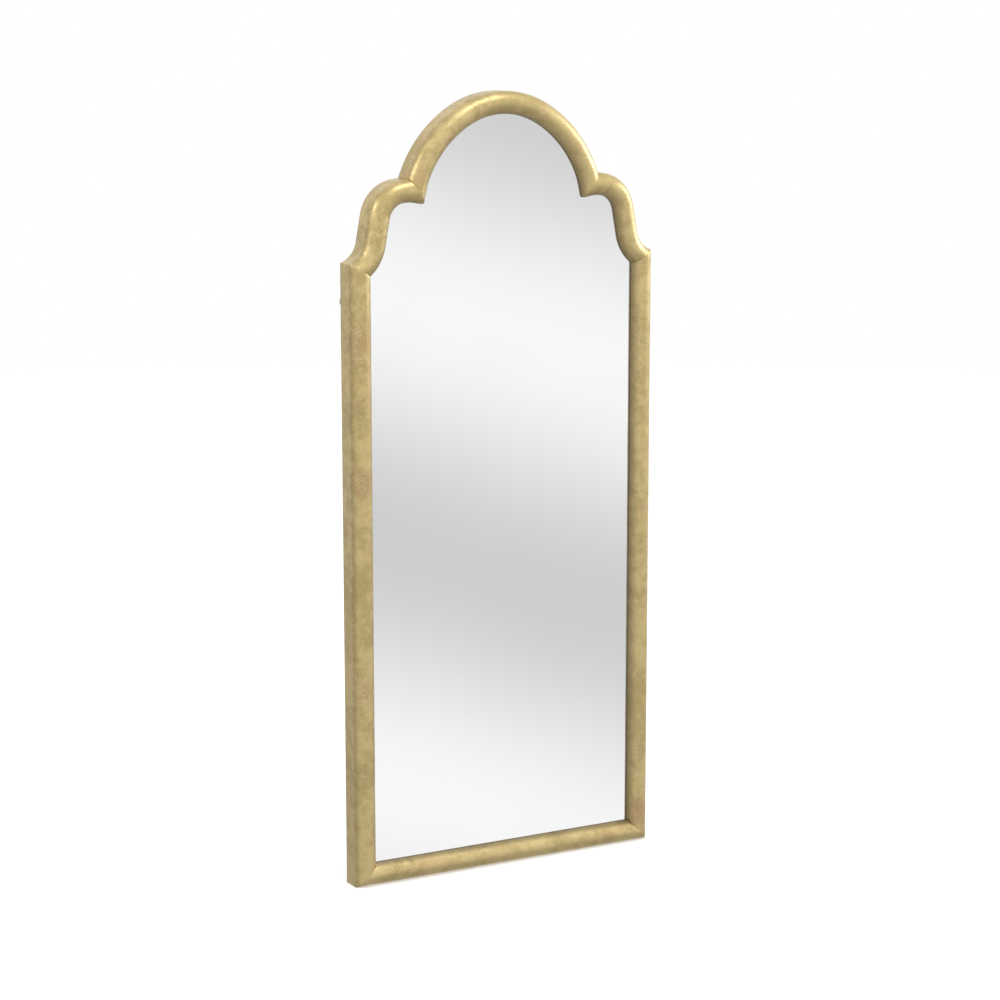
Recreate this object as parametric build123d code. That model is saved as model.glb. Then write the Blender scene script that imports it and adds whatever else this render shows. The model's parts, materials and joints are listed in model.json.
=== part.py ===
from build123d import *
import os
from math import atan2, cos, degrees, radians, sin, sqrt

# Arched wall mirror in a gilt half-round wooden moulding, sizes in millimetres.
# X runs across the mirror, +Y points into the wall and +Z points up.
# The origin lies on the flat back, in the middle of its width and height.

# Outline of the frame
frame_width = 610.0
frame_height = 1407.0
head_rise = 290.5            # crown above the outer top corner of a stile
crown_radius = 176.5         # outer radius of the middle of the arch
crown_half_angle = 29.0      # from the centre line to where the haunch begins
haunch_radius = 231.0        # outer radius of the flatter sides of the arch
shoulder_radius = 72.5
shoulder_slope = 8.0         # fall of the shoulder's top away from the arch
flank_lean = 10.3            # lean of the shoulder's side from upright
flank_length = 48.0
flare_radius = 46.0          # hollow curve from the flank out to the stile
flare_slope = 19.0           # slope of the hollow curve where it meets the stile

# Section of the moulding
moulding_width = 40.0
moulding_depth = 53.5
side_height = 36.5           # straight side below the half round
back_edge_radius = 2.0       # rounding of the outer edge nearest the wall
lip_thickness = 2.5          # wood in front of the glass at the sight edge
rabbet_width = 10.0
panel_ledge = 8.0

# Sheets in the rabbet, from front to back
glass_thickness = 4.0
foam_thickness = 2.0
board_thickness = 3.0
panel_thickness = 4.0
glass_edge_gap = 1.5
board_edge_gap = 0.5
panel_edge_gap = 0.5
glass_relief_radius = 3.0    # drilled relief at the glass's two notches

# Rubber pieces
setting_block_length = 40.0
setting_block_spacing = 300.0
edge_spacer_length = 25.0
edge_spacer_spacing = 620.0
bumper_radius = 8.0
bumper_height = 5.0
bumper_chamfer = 0.8
bumper_above_foot = 110.0

# Battens and blocks that hold the sheets in
batten_size = 12.0
batten_end_gap = 4.0
block_length = 46.0

# Loose tongues across the six mitres
tongue_thickness = 4.0
tongue_length = 20.0
tongue_inset = 17.0          # from the outer edge to the tongue's middle
tongue_reach = 7.0           # how far the tongue runs each way from its middle
tongue_depths = (22.0, 36.0)

# Countersunk screws
screw_shank_radius = 1.6
screw_head_radius = 3.2
screw_head_height = 1.6
panel_screw_length = 16.0
brace_screw_length = 18.0
hanger_screw_length = 16.0
stile_screw_count = 3
stile_screw_margin = 90.0
rail_screw_count = 3
rail_screw_margin = 110.0

# Flat corner braces on the back
brace_length = 62.0
brace_width = 14.0
brace_thickness = 2.0
brace_inset = 4.0
brace_corner_radius = 3.0
brace_hole_spacing = 22.0
brace_end_distance = 9.0

# Hangers with a swinging ring
hanger_below_stile_top = 62.0
strap_width = 13.0
strap_length = 50.0
strap_thickness = 1.2
strap_corner_radius = 4.0
strap_screw_spacing = 18.0
strap_end_distance = 8.0
ring_wire_radius = 1.5
ring_running_clearance = 0.08
ring_over_strap = 0.3        # gap between the folded ring and the strap
ring_side_clearance = 0.5
ring_corner_radius = 2.2
ring_leg_length = 2.5
curl_slit = 0.5

# Cutting shapes run this far past what they cut
cut_margin = 30.0

# Worked out from the sizes above
half_width = frame_width / 2
foot = -frame_height / 2
crown_top = frame_height / 2
stile_top = crown_top - head_rise
seat_depth = side_height - lip_thickness
rabbet_wall = moulding_width - rabbet_width
back_land = rabbet_wall - panel_ledge
glass_back = seat_depth - glass_thickness
foam_back = glass_back - foam_thickness
board_back = foam_back - board_thickness
batten_back = board_back - batten_size
batten_inset = rabbet_wall + batten_size
panel_screw_inset = rabbet_wall - panel_ledge / 2
eye_radius = ring_wire_radius + ring_running_clearance
knuckle_radius = eye_radius + strap_thickness
pivot_y = strap_thickness + ring_over_strap + ring_wire_radius
pivot_z = stile_top - hanger_below_stile_top
hanger_x = half_width - back_land / 2
ring_half_width = strap_width / 2 + ring_side_clearance + ring_corner_radius
into_wall = Vector(0, 1, 0)
off_wall = Vector(0, -1, 0)


# Points of the outline, on the right-hand side

def direction(angle):
    """Unit vector in the plane of the mirror, turned from +X towards +Z."""
    return Vector(cos(radians(angle)), 0, sin(radians(angle)))


flank_angle = flank_lean
shoulder_angle = 90 - shoulder_slope
crown_angle = 90 - crown_half_angle
flare_centre = Vector(half_width, 0, stile_top) + flare_radius * direction(90 - flare_slope)
flank_foot = flare_centre - flare_radius * direction(flank_angle)
flank_head = flank_foot + flank_length * direction(flank_angle + 90)
shoulder_centre = flank_head - shoulder_radius * direction(flank_angle)
crown_centre = Vector(0, 0, crown_top - crown_radius)
haunch_centre = crown_centre - (haunch_radius - crown_radius) * direction(crown_angle)


def flip(shape):
    """The same shape on the mirror's other side."""
    return mirror(shape, about=Plane.YZ)


def polar(centre, radius, angle):
    return centre + radius * direction(angle)


def angle_of(centre, point):
    return degrees(atan2(point.Z - centre.Z, point.X - centre.X))


def stile_corner(inset):
    """Where the flare meets the stile, on the outline moved in by inset."""
    x = half_width - inset
    drop = sqrt((flare_radius + inset) ** 2 - (x - flare_centre.X) ** 2)
    return Vector(x, 0, flare_centre.Z - drop)


def shoulder_end(inset):
    """Where the shoulder's round ends and its straight top begins."""
    return polar(shoulder_centre, shoulder_radius - inset, shoulder_angle)


def cusp(inset):
    """Where the shoulder meets the haunch: on its straight top, or else on its round."""
    haunch = haunch_radius - inset
    start = shoulder_end(inset)
    along = direction(shoulder_angle + 90)
    offset = start - haunch_centre
    half = offset.dot(along)
    travel = -half - sqrt(half ** 2 - offset.dot(offset) + haunch ** 2)
    if travel > 0:
        return start + travel * along
    between = shoulder_centre - haunch_centre
    shoulder = shoulder_radius - inset
    reach = (between.length ** 2 + haunch ** 2 - shoulder ** 2) / (2 * between.length)
    height = sqrt(haunch ** 2 - reach ** 2)
    unit = between.normalized()
    return haunch_centre + reach * unit + height * Vector(-unit.Z, 0, unit.X)


def arc(centre, radius, start_angle, end_angle):
    middle = (start_angle + end_angle) / 2
    return ThreePointArc(*(polar(centre, radius, a) for a in (start_angle, middle, end_angle)))


def arc_to(centre, radius, start, end):
    return arc(centre, radius, angle_of(centre, start), angle_of(centre, end))


def face_within(*lines):
    """Flat face inside lines that join end to end."""
    return Face(Wire([edge for line in lines for edge in line.edges()]))


# Outline faces and sheets

def half_outline(inset):
    """Edges of the right-hand half, from the foot up to the crown's arc."""
    corner, meet = stile_corner(inset), cusp(inset)
    flare, haunch = flare_radius + inset, haunch_radius - inset
    low = polar(flare_centre, flare, flank_angle + 180)
    high = polar(shoulder_centre, shoulder_radius - inset, flank_angle)
    end = shoulder_end(inset)
    straight_top = meet.X < end.X
    round_end = end if straight_top else meet
    edges = [
        Line((half_width - inset, 0, foot + inset), corner),
        arc(flare_centre, flare, angle_of(flare_centre, corner) + 360, flank_angle + 180),
        Line(low, high),
        arc_to(shoulder_centre, shoulder_radius - inset, high, round_end),
        arc(haunch_centre, haunch, angle_of(haunch_centre, meet), crown_angle),
    ]
    return edges + ([Line(end, meet)] if straight_top else [])


def outline(inset):
    """Face of the mirror's whole outline moved in by inset."""
    right = half_outline(inset)
    left = [flip(edge) for edge in right]
    crown = arc(crown_centre, crown_radius - inset, crown_angle, 180 - crown_angle)
    x, z = half_width - inset, foot + inset
    return face_within(*right, crown, *left, Line((-x, 0, z), (x, 0, z)))


def sheet(inset, front, thickness):
    """Flat sheet whose front face lies at the depth given, in front of the back."""
    face = outline(inset).moved(Location((0, -front, 0)))
    return extrude(face, thickness, dir=into_wall)


def glass_pane():
    """The mirror, with a drilled relief at each notch under the arch's ends."""
    inset = rabbet_wall + glass_edge_gap
    pane = sheet(inset, seat_depth, glass_thickness)
    notch = Plane(cusp(inset) + glass_back * off_wall, z_dir=off_wall)
    relief = extrude(notch * Circle(glass_relief_radius), glass_thickness, dir=off_wall)
    return pane - relief - flip(relief)


# The moulding

def section(point, inward):
    """Section of the moulding, with its outer back corner at the point."""
    def at(inset, depth):
        return point + inset * inward + depth * off_wall

    r = back_edge_radius
    side = Line(at(0, r), at(0, side_height))
    front = ThreePointArc(at(0, side_height), at(moulding_width / 2, moulding_depth),
                          at(moulding_width, side_height))
    back = Polyline(at(moulding_width, side_height), at(moulding_width, seat_depth),
                    at(rabbet_wall, seat_depth), at(rabbet_wall, panel_thickness),
                    at(back_land, panel_thickness), at(back_land, 0), at(r, 0))
    bulge = r - r * sqrt(0.5)
    edge = ThreePointArc(at(r, 0), at(bulge, bulge), at(0, r))
    return face_within(side, front, back, edge)


def straight_run(start, end, inward):
    way = end - start
    return extrude(section(start, inward), way.length, dir=way)


def curved_run(centre, radius, start_angle, end_angle, hollow=False):
    """Moulding bent round a centre, which lies on its outer side where it is hollow."""
    point = polar(centre, radius, start_angle)
    inward = direction(start_angle) if hollow else -direction(start_angle)
    axis = Axis(centre, off_wall)
    return revolve(section(point, inward), axis, end_angle - start_angle)


def mitre_line(meet, reach):
    """Mitre between two mouldings, run on straight past its outer and inner ends."""
    outer, middle, inner = meet(0), meet(moulding_width / 2), meet(moulding_width)
    before = outer + reach * (outer - middle).normalized()
    after = inner + cut_margin * (inner - middle).normalized()
    return before, [Line(before, outer), ThreePointArc(outer, middle, inner), Line(inner, after)], after


def zone(*lines):
    """Prism over a closed outline, through the whole depth of the moulding."""
    face = face_within(*lines).moved(Location((0, cut_margin, 0)))
    return extrude(face, moulding_depth + 2 * cut_margin, dir=off_wall)


def arch_zone():
    before, right, after = mitre_line(cusp, 4 * moulding_width)
    left = [flip(edge) for edge in right]
    top = crown_top + cut_margin
    over = Polyline(before, (before.X, 0, top), (-before.X, 0, top), (-before.X, 0, before.Z))
    return zone(*right, *left, over, Line(after, (-after.X, 0, after.Z)))


def stile_zone():
    before, mitre, after = mitre_line(stile_corner, cut_margin)
    low = foot - cut_margin
    return zone(*mitre, Polyline(after, (after.X, 0, low), (before.X, 0, low), before))


def rail_zone():
    """Below the two mitres of the bottom corners."""
    top = foot + 2 * moulding_width
    x_top, x_low = half_width - 2 * moulding_width, half_width + cut_margin
    low = foot - cut_margin
    return zone(Polyline((-x_low, 0, low), (x_low, 0, low), (x_top, 0, top), (-x_top, 0, top),
                         (-x_low, 0, low)))


def top_arch():
    start = angle_of(haunch_centre, cusp(moulding_width)) - 4
    haunch = curved_run(haunch_centre, haunch_radius, start, crown_angle)
    crown = curved_run(crown_centre, crown_radius, crown_angle, 180 - crown_angle)
    return (haunch + crown + flip(haunch)) & arch_zone()


def right_shoulder():
    corner = angle_of(flare_centre, stile_corner(0)) + 360
    flare = curved_run(flare_centre, flare_radius, corner + 25, flank_angle + 180, hollow=True)
    flank = straight_run(flank_foot, flank_head, -direction(flank_angle))
    bend = curved_run(shoulder_centre, shoulder_radius, flank_angle, shoulder_angle)
    start = shoulder_end(0)
    end = start + 2 * moulding_width * direction(shoulder_angle + 90)
    cap = straight_run(start, end, -direction(shoulder_angle))
    return (flare + flank + bend + cap) - arch_zone() - stile_zone()


def right_stile():
    start = Vector(half_width, 0, foot)
    run = straight_run(start, Vector(half_width, 0, stile_top + cut_margin), Vector(-1, 0, 0))
    return (run & stile_zone()) - rail_zone()


def bottom_rail():
    start, end = Vector(-half_width, 0, foot), Vector(half_width, 0, foot)
    return straight_run(start, end, Vector(0, 0, 1)) & rail_zone()


# Tongues, screws and braces

def both_sides(shapes):
    return [*shapes, *(flip(shape) for shape in shapes)]


def bottom_corner(inset):
    return Vector(half_width - inset, 0, foot + inset)


def mitre_tongues():
    """Two flat tongues square across each mitre, one behind the other."""
    tongues = []
    for meet in (bottom_corner, stile_corner, cusp):
        outer, inner = meet(tongue_inset - tongue_reach), meet(tongue_inset + tongue_reach)
        way = inner - outer
        across = tongue_length / 2 * Vector(-way.Z, 0, way.X).normalized()
        corners = [outer - across, inner - across, inner + across, outer + across, outer - across]
        for depth in tongue_depths:
            face = face_within(Polyline(*corners)).moved(Location((0, -depth, 0)))
            tongues.append(extrude(face, tongue_thickness, dir=off_wall))
    return both_sides(tongues)


def screw(head, way, length):
    """Countersunk screw whose flat head lies at a point, driven along way."""
    place = Plane(head, z_dir=way)
    half_section = Polyline(
        (0, 0, 0), (screw_head_radius, 0, 0), (screw_shank_radius, 0, screw_head_height),
        (screw_shank_radius, 0, length), (0, 0, length), (0, 0, 0))
    return place * revolve(face_within(half_section), Axis.Z, 360)


def evenly(low, high, count):
    return [low + (high - low) * i / (count - 1) for i in range(count)]


def haunch_middle(inset):
    """Angle halfway along the arch's flatter side."""
    return (angle_of(haunch_centre, cusp(inset)) + crown_angle) / 2


def panel_screws():
    """Along the ledge that the back panel lies on."""
    x = half_width - panel_screw_inset
    heights = evenly(foot + stile_screw_margin, stile_top - stile_screw_margin, stile_screw_count)
    stile = [Vector(x, 0, z) for z in heights]
    low = polar(flare_centre, flare_radius + panel_screw_inset, flank_angle + 180)
    high = polar(shoulder_centre, shoulder_radius - panel_screw_inset, flank_angle)
    haunch = polar(haunch_centre, haunch_radius - panel_screw_inset, haunch_middle(panel_screw_inset))
    right = [screw(p, off_wall, panel_screw_length) for p in [*stile, (low + high) / 2, haunch]]
    reach = half_width - rail_screw_margin
    rail = [Vector(px, 0, foot + panel_screw_inset) for px in evenly(-reach, reach, rail_screw_count)]
    crown = polar(crown_centre, crown_radius - panel_screw_inset, 90)
    return both_sides(right) + [screw(p, off_wall, panel_screw_length) for p in [*rail, crown]]


def brace_holes():
    """Head points of the right-hand brace's screws, two along each arm."""
    centre = bottom_corner(brace_inset + brace_width / 2)
    far = brace_length - brace_end_distance - brace_width / 2
    reaches = [far - brace_hole_spacing, far]
    back = brace_thickness * into_wall
    return [centre + r * way + back for way in (Vector(-1, 0, 0), Vector(0, 0, 1)) for r in reaches]


def brace_screws():
    return both_sides([screw(p, off_wall, brace_screw_length) for p in brace_holes()])


def corner_braces():
    """Flat angle plates over the back of the two bottom mitres."""
    x, z = half_width - brace_inset, foot + brace_inset
    x_in, z_in = x - brace_width, z + brace_width
    face = face_within(Polyline(
        (x, 0, z), (x - brace_length, 0, z), (x - brace_length, 0, z_in), (x_in, 0, z_in),
        (x_in, 0, z + brace_length), (x, 0, z + brace_length), (x, 0, z)))
    inner = Vector(x_in, 0, z_in)
    ends = [v for v in face.vertices() if (Vector(v) - inner).length > 1]
    plate = extrude(face.fillet_2d(brace_corner_radius, ends), brace_thickness, dir=into_wall)
    return both_sides([plate])


# Sheets, battens, blocks and rubber pieces

def ring_sector(centre, outer, angle, length):
    """Curved block whose outer face follows the rabbet's wall."""
    inner = outer - batten_size
    spread = degrees(length / outer) / 2
    a, b = angle - spread, angle + spread
    ends = [Line(polar(centre, outer, b), polar(centre, inner, b)),
            Line(polar(centre, inner, a), polar(centre, outer, a))]
    face = face_within(arc(centre, outer, a, b), arc(centre, inner, a, b), *ends)
    return extrude(face.moved(Location((0, -board_back, 0))), batten_size, dir=into_wall)


def arch_blocks():
    haunch_angle = haunch_middle(rabbet_wall)
    haunch = ring_sector(haunch_centre, haunch_radius - rabbet_wall, haunch_angle, block_length)
    crown = ring_sector(crown_centre, crown_radius - rabbet_wall, 90, block_length)
    return [crown, *both_sides([haunch])]


def slab(low, high):
    """Box between two corners."""
    size = high - low
    return Solid.make_box(size.X, size.Y, size.Z, Plane(low))


def shoulder_blocks():
    """Straight blocks against the flanks."""
    low = polar(flare_centre, flare_radius + rabbet_wall, flank_angle + 180)
    high = polar(shoulder_centre, shoulder_radius - rabbet_wall, flank_angle)
    way = (high - low).normalized()
    middle = (low + high) / 2
    a = middle - flank_length / 2 * way
    b = middle + flank_length / 2 * way
    inward = -batten_size * direction(flank_angle)
    face = face_within(Polyline(a, b, b + inward, a + inward, a))
    block = extrude(face.moved(Location((0, -board_back, 0))), batten_size, dir=into_wall)
    return both_sides([block])


def side_batten():
    outer = half_width - rabbet_wall
    top = stile_corner(rabbet_wall).Z - batten_end_gap
    return slab(Vector(outer - batten_size, -board_back, foot + batten_inset),
                Vector(outer, -batten_back, top))


def bottom_batten():
    x, z = half_width - rabbet_wall, foot + rabbet_wall
    return slab(Vector(-x, -board_back, z), Vector(x, -batten_back, z + batten_size))


def setting_blocks():
    """Rubber under the lower edge of the glass."""
    z = foot + rabbet_wall
    half = Vector(setting_block_length / 2, 0, 0)
    blocks = []
    for x in (-setting_block_spacing / 2, setting_block_spacing / 2):
        low = Vector(x, -seat_depth, z) - half
        high = Vector(x, -foam_back, z + glass_edge_gap) + half
        blocks.append(slab(low, high))
    return blocks


def edge_spacers():
    """Rubber beside the glass, two on each side."""
    outer = half_width - rabbet_wall
    middle = (foot + stile_top) / 2
    half = Vector(0, 0, edge_spacer_length / 2)
    spacers = []
    for z in (middle - edge_spacer_spacing / 2, middle + edge_spacer_spacing / 2):
        low = Vector(outer - glass_edge_gap, -seat_depth, z) - half
        spacers.append(slab(low, Vector(outer, -foam_back, z) + half))
    return both_sides(spacers)


def wall_bumper():
    """Soft foot that keeps the lower end off the wall."""
    centre = Vector(half_width - back_land / 2, 0, foot + bumper_above_foot)
    disc = extrude(Plane(centre, z_dir=into_wall) * Circle(bumper_radius), bumper_height, dir=into_wall)
    rim = disc.edges().filter_by(GeomType.CIRCLE).sort_by(Axis.Y)[-1]
    return chamfer(rim, bumper_chamfer)


# Hangers

def hanger_holes():
    """Head points of the right-hand strap's screws."""
    low = pivot_z - strap_length + strap_end_distance
    back = strap_thickness
    return [Vector(hanger_x, back, low), Vector(hanger_x, back, low + strap_screw_spacing)]


def hanger_screws():
    return both_sides([screw(p, off_wall, hanger_screw_length) for p in hanger_holes()])


def hanger_strap():
    """Flat strap on the right-hand stile, curled round the ring's straight bar."""
    half = strap_width / 2
    x_low, x_high, low = hanger_x - half, hanger_x + half, pivot_z - strap_length
    face = face_within(Polyline((x_low, 0, low), (x_high, 0, low), (x_high, 0, pivot_z),
                                (x_low, 0, pivot_z), (x_low, 0, low)))
    ends = [v for v in face.vertices() if v.Z < low + 1]
    plate = extrude(face.fillet_2d(strap_corner_radius, ends), strap_thickness, dir=into_wall)
    side = Plane((x_low, pivot_y, pivot_z), z_dir=(1, 0, 0))
    curl = extrude(side * Circle(knuckle_radius), strap_width, dir=(1, 0, 0))
    bore = extrude(side * Circle(eye_radius), strap_width, dir=(1, 0, 0))
    slit = slab(Vector(x_low, strap_thickness, pivot_z - knuckle_radius),
                Vector(x_high, strap_thickness + curl_slit, pivot_z))
    return plate + (curl - slit) - bore


def hanger_ring():
    """Ring of round wire with one straight bar, hanging down over the strap."""
    x, r = ring_half_width, ring_corner_radius
    right = Vector(hanger_x + x - r, pivot_y, pivot_z - r)
    left = Vector(hanger_x - x + r, pivot_y, pivot_z - r)
    low = r + ring_leg_length
    bow = Vector(hanger_x, pivot_y, pivot_z - low)
    drop = Vector(0, 0, -ring_leg_length)
    side = Vector(r, 0, 0)
    path = Wire([
        Line(left + Vector(0, 0, r), right + Vector(0, 0, r)),
        arc(right, r, 90, 0), Line(right + side, right + side + drop),
        arc(bow, x, 0, -180), Line(left - side + drop, left - side),
        arc(left, r, 180, 90),
    ])
    circle = Plane(path @ 0, z_dir=path % 0) * Circle(ring_wire_radius)
    return sweep(circle, path)


# Everything in its place

def cut_by(shape, tools):
    for tool in tools:
        shape = shape - tool
    return shape


def build():
    tongues = mitre_tongues()
    screws = {"panel_screws": panel_screws(), "brace_screws": brace_screws(),
              "hanger_screws": hanger_screws()}
    fixings = [*tongues, *(s for group in screws.values() for s in group)]
    shoulder, stile = cut_by(right_shoulder(), fixings), cut_by(right_stile(), fixings)
    strap, ring = cut_by(hanger_strap(), screws["hanger_screws"]), hanger_ring()
    panel = sheet(back_land + panel_edge_gap, panel_thickness, panel_thickness)
    parts = {
        "top_arch": [cut_by(top_arch(), fixings)],
        "bottom_rail": [cut_by(bottom_rail(), fixings)],
        "right_shoulder": [shoulder],
        "left_shoulder": [flip(shoulder)],
        "right_stile": [stile],
        "left_stile": [flip(stile)],
        "mitre_tongues": tongues,
        "mirror_glass": [glass_pane()],
        "foam_sheet": [sheet(rabbet_wall + glass_edge_gap, glass_back, foam_thickness)],
        "backing_board": [sheet(rabbet_wall + board_edge_gap, foam_back, board_thickness)],
        "back_panel": [cut_by(panel, screws["panel_screws"])],
        "right_batten": [side_batten()],
        "left_batten": [flip(side_batten())],
        "bottom_batten": [bottom_batten()],
        "arch_blocks": arch_blocks(),
        "shoulder_blocks": shoulder_blocks(),
        "setting_blocks": setting_blocks(),
        "edge_spacers": edge_spacers(),
        "corner_braces": [cut_by(b, screws["brace_screws"]) for b in corner_braces()],
        "right_hanger_strap": [strap],
        "left_hanger_strap": [flip(strap)],
        "right_hanger_ring": [ring],
        "left_hanger_ring": [flip(ring)],
        "right_wall_bumper": [wall_bumper()],
        "left_wall_bumper": [flip(wall_bumper())],
        **screws,
    }
    return parts


os.makedirs("parts", exist_ok=True)
for name, solids in build().items():
    bodies = [s for shape in solids for s in shape.solids()]
    export_step(bodies[0] if len(bodies) == 1 else Compound(bodies), f"parts/{name}.step")
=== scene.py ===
"""Looks for the arched wall mirror: gilt half-round mouldings, silvered pane, backing and hangers.

Lengths are in metres. X runs across the mirror, +Y points into the wall and +Z points up.
"""

import json

import bmesh
import bpy
import numpy as np
from bpy.props import FloatProperty, FloatVectorProperty, PointerProperty
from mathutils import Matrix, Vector


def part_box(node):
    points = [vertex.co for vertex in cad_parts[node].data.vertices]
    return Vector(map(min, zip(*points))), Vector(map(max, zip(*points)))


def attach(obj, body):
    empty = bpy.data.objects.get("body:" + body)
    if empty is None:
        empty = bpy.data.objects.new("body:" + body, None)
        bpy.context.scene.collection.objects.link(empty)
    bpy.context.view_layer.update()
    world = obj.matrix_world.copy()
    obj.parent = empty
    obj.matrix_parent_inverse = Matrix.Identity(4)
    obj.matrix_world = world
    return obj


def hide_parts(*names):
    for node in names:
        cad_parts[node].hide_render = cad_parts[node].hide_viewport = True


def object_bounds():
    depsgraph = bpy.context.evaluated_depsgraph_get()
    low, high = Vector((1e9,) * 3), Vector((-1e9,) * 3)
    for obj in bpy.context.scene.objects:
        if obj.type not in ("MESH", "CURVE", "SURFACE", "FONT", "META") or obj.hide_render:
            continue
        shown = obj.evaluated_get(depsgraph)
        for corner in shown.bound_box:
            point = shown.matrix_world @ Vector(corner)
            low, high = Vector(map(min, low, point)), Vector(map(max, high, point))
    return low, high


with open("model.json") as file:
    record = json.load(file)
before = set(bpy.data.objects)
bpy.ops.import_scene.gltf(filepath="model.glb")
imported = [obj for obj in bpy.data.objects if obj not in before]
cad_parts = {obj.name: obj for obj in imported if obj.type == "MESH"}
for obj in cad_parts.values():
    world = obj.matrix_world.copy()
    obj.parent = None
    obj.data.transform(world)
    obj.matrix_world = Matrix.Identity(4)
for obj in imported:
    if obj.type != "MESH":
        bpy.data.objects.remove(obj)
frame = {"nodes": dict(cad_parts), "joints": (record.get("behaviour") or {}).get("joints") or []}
cad_box = [list(corner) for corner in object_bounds()]
low_corner, high_corner = cad_box

bl_info = {
    "name": "Arched Wall Mirror",
    "version": (1, 0, 0),
    "blender": (4, 5, 0),
    "location": "View3D > Sidebar > Mirror",
    "description": "Builds the finished surfaces and materials of an arched gilt wall mirror",
    "category": "Object",
}

# Rows of a moulding: spacing on straight, gently curved and tightly curved runs, and the run
# lengths that set how many rows there are
STRAIGHT_STEP, GENTLE_STEP, TIGHT_STEP = 0.009, 0.004, 0.003
STILE_RUN, RAIL_RUN, FLARE_RUN, FLANK_RUN = 1.08, 0.57, 0.05, 0.048
BEND_RUN, TOP_RUN, ARCH_RUN = 0.07, 0.02, 0.18

# Stage: each lamp's size and place, and the camera at the photo's angle
LAMPS = {
    "top_lamp": (1.1, (0.5, -1.6, 3.2)),
    "right_lamp": (1.0, (3.0, -0.6, 1.0)),
    "left_lamp": (1.0, (-2.8, -0.2, 2.0)),
}
CAMERA_PLACE = (-2.3345, -4.2118, 0.8594)
CAMERA_TURN = np.radians([79.525, 0.02, -29.126])
CAMERA_LENS, SENSOR_WIDTH = 97.31, 36
FLOOR_SIDES = 64

# Surroundings: grey from straight down (0) to straight up (1), and the bands that the glass
# mirrors, in degrees of heading and elevation
ROOM_GREY = ((0.0, 0.50), (0.25, 0.56), (0.36, 0.63), (0.42, 0.82), (0.46, 1.04), (0.55, 1.02),
             (1.0, 0.92))
BAND_HEADING, BAND_HEIGHT, BAND_LEAN, BAND_PITCH = 29.2, -6.9, 0.28, 10.4
BAND_LEVEL, BAND_SWING = 0.82, 0.17
FULL_SURROUNDINGS = 0.80


# What a user may change

def length(name, description, default, **limits):
    return FloatProperty(name=name, description=description, default=default, precision=5,
                         subtype="DISTANCE", unit="LENGTH", **limits)


def share(name, description, default):
    return FloatProperty(name=name, description=description, default=default, min=0, max=1,
                         subtype="FACTOR")


def amount(name, description, default):
    return FloatProperty(name=name, description=description, default=default, min=0)


def angle(name, description, degrees):
    return FloatProperty(name=name, description=description, default=np.radians(degrees),
                         subtype="ANGLE", unit="ROTATION")


def colour(name, description, red, green, blue):
    """Colour property whose default is written in 0 to 255 display values."""
    shown = np.array([red, green, blue]) / 255
    linear = np.where(shown <= 0.04045, shown / 12.92, ((shown + 0.055) / 1.055) ** 2.4)
    return FloatVectorProperty(name=name, description=description, default=linear.tolist(),
                               subtype="COLOR", min=0, max=1)


class MirrorOutline(bpy.types.PropertyGroup):
    """Outer outline of the frame, on its right-hand side."""

    width: length("Width", "Overall width", high_corner[0] - low_corner[0])
    height: length("Height", "Overall height", high_corner[2] - low_corner[2])
    head_rise: length("Head rise", "Crown above the outer top corner of a stile", 0.2905)
    crown_radius: length("Crown radius", "Outer radius of the middle of the arch", 0.1765)
    crown_half_angle: angle("Crown half angle", "From the centre line to the haunch", 29)
    haunch_radius: length("Haunch radius", "Outer radius of the arch's flatter sides", 0.231)
    shoulder_radius: length("Shoulder radius", "Outer radius of the shoulder's bend", 0.0725)
    shoulder_slope: angle("Shoulder slope", "Fall of the shoulder's top away from the arch", 8)
    flank_lean: angle("Flank lean", "Lean of the shoulder's side from upright", 10.3)
    flank_length: length("Flank length", "Straight part of the shoulder's side", 0.048)
    flare_radius: length("Flare radius", "Hollow curve from the flank out to the stile", 0.046)
    flare_slope: angle("Flare slope", "Slope of the hollow curve at the stile", 19)
    tip_drop: length("Tip drop", "How far the pointed tips beside the arch are drawn down", 0.008)
    tip_reach: length("Tip reach", "How far round a tip the drop fades out", 0.020)


class MirrorSection(bpy.types.PropertyGroup):
    """Section of the moulding and the rabbet behind it."""

    width: length("Width", "Width of the moulding seen from the front", 0.040)
    depth: length("Depth", "From the back to the top of the half round", 0.0535)
    side_height: length("Side height", "Straight outer side below the half round", 0.0365)
    back_edge: length("Back edge", "Rounding of the outer edge nearest the wall", 0.002)
    lip: length("Lip", "Wood in front of the glass at the sight edge", 0.0025)
    rabbet: length("Rabbet", "Width of the step that the glass lies in", 0.010)
    ledge: length("Ledge", "Width of the step that the back panel lies in", 0.008)
    panel: length("Panel", "Thickness of the back panel", 0.004)
    waviness: length("Waviness", "Height of the hand-worked waves in the half round", 0.00012)
    groove_depth: length("Groove depth", "Depth of the open line at a mitre", 0.00035)
    groove_width: length("Groove width", "Half the width of the open line at a mitre", 0.0006)


class MirrorGilding(bpy.types.PropertyGroup):
    """Gold leaf over a clay ground, with toning to look old, and umber painted shade at the sight
    edge.
    """

    leaf: colour("Leaf", "Clean gold leaf", 222, 200, 143)
    olive: colour("Olive leaf", "Leaf where the toning lies thicker", 190, 169, 112)
    rose: colour("Rose leaf", "Leaf rubbed thin, with the clay showing through", 205, 170, 125)
    clay: colour("Clay", "Red-brown clay under the leaf", 128, 82, 50)
    # Besides specks and grain, umber is the painted shade on the lip, in the rabbet and towards the
    # sight edge.
    umber: colour("Umber", "Dark toning in specks, mitres and the sight edge", 72, 58, 36)
    bare_wood: colour("Bare wood", "Stained wood at the back", 134, 104, 72)
    leaf_size: length("Leaf size", "Width of one leaf along the moulding", 0.082)
    roughness: share("Roughness", "Roughness of clean leaf", 0.36)
    specks: share("Specks", "Strength of the dark specks", 0.75)
    laps: share("Laps", "Strength of the lines where leaves overlap", 0.22)


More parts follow.
